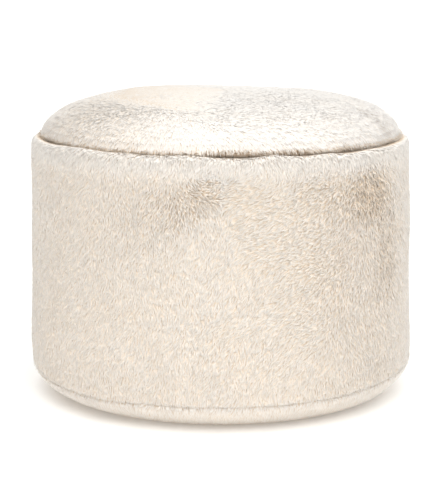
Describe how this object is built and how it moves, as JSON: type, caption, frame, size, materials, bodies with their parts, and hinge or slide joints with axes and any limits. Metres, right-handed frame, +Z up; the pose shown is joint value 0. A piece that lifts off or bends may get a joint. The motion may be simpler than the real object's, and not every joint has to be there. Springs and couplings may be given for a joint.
{
  "type": "pouf",
  "caption": "Round pouf in soft faux fur: a crowned seat panel, a drum side and a rolled base over a loose filling, for sitting on or resting the feet.",
  "frame": {"origin": "on the floor, under the middle of the pouf", "axes": "+Z up, out of the seat; -Y towards the side that the picture shows; +X to the right as seen from there"},
  "size_m": [0.5066, 0.5059, 0.3974],
  "materials": {
    "fur": "cream faux fur with a soft pile about 9 mm long"
  },
  "bodies": {
    "root": {"top_panel": "fur", "side_panel": "fur", "base_panel": "fur"}
  },
  "joints": []
}
